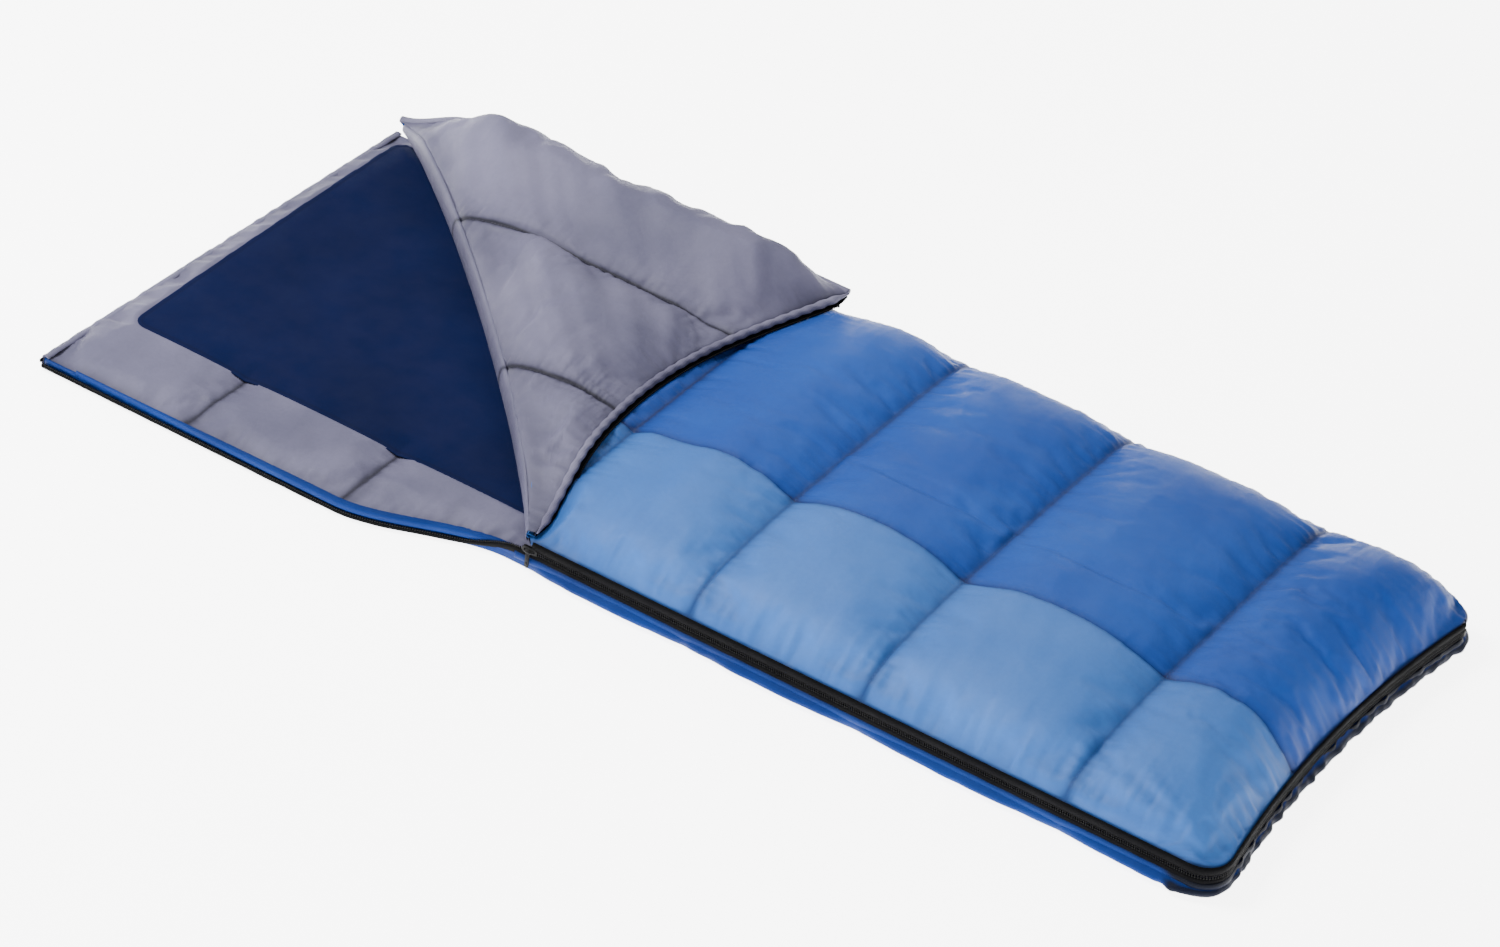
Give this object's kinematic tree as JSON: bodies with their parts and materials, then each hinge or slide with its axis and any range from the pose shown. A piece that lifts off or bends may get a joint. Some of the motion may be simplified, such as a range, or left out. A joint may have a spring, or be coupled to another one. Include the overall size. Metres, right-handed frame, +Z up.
{
  "type": "sleeping bag",
  "caption": "Rectangular quilted sleeping bag lying flat, zipped along one side and the foot, with the zip-side head corner of the top folded back.",
  "frame": {"origin": "middle of the footprint, on the ground", "axes": "+X from the head to the foot, +Y from the zip side to the folded far side, +Z up"},
  "size_m": [1.9134, 0.8424, 0.1691],
  "materials": {
    "light_blue_shell": "woven polyester, soft sheen",
    "royal_blue_shell": "woven polyester, soft sheen",
    "mid_blue_shell": "woven polyester, soft sheen",
    "grey_lining": "brushed polyester lining",
    "navy_lining": "brushed fabric, matte",
    "fibre_filling": "lofted polyester fibre",
    "zip_tape": "woven tape, matte",
    "zip_coil": "nylon, satin",
    "slider_metal": "black enamel, satin"
  },
  "bodies": {
    "lower_quilt": {"lower_shell": "mid_blue_shell", "lower_batting": "fibre_filling", "lower_lining": "grey_lining", "lining_panel": "navy_lining", "lower_head_binding": "grey_lining", "lower_zip_guard": "mid_blue_shell", "lower_zip_tape": "zip_tape", "lower_zip_coil": "zip_coil", "lower_zip_stop": "zip_coil", "zip_box": "zip_coil", "far_side_wall": "royal_blue_shell"},
    "upper_quilt": {"upper_shell_light": "light_blue_shell", "upper_shell_dark": "royal_blue_shell", "upper_batting": "fibre_filling", "upper_lining": "grey_lining", "upper_zip_tape": "zip_tape", "upper_zip_coil": "zip_coil", "zip_pin": "zip_coil", "fold_crease": "grey_lining"},
    "flap": {"flap_shell_light": "light_blue_shell", "flap_shell_dark": "royal_blue_shell", "flap_batting": "fibre_filling", "flap_lining": "grey_lining", "flap_head_binding": "grey_lining", "flap_side_piping": "grey_lining", "flap_zip_tape": "zip_tape", "flap_zip_coil": "zip_coil", "flap_zip_stop": "zip_coil"},
    "slider": {"slider_body": "slider_metal"},
    "pull": {"slider_pull": "slider_metal"}
  },
  "joints": [
    {"name": "top_open", "type": "hinge", "parent": "lower_quilt", "child": "upper_quilt", "pos_m": [0, 0.418, 0.092], "axis": [-1, 0, 0], "range_deg": [0, 180], "deforming": ["far_side_wall"]},
    {"name": "corner_fold", "type": "hinge", "parent": "upper_quilt", "child": "flap", "pos_m": [-0.165, -0.34, 0.104], "axis": [0.7159, -0.6982, 0], "range_deg": [0, 180], "deforming": ["fold_crease"]},
    {"name": "slider_slide", "type": "slide", "parent": "lower_quilt", "child": "slider", "axis": [1, 0, 0], "range_m": [0, 1.03]},
    {"name": "pull_swing", "type": "hinge", "parent": "slider", "child": "pull", "pos_m": [-0.15, -0.3535, 0.037], "axis": [-1, 0, 0], "range_deg": [0, 150]}
  ]
}
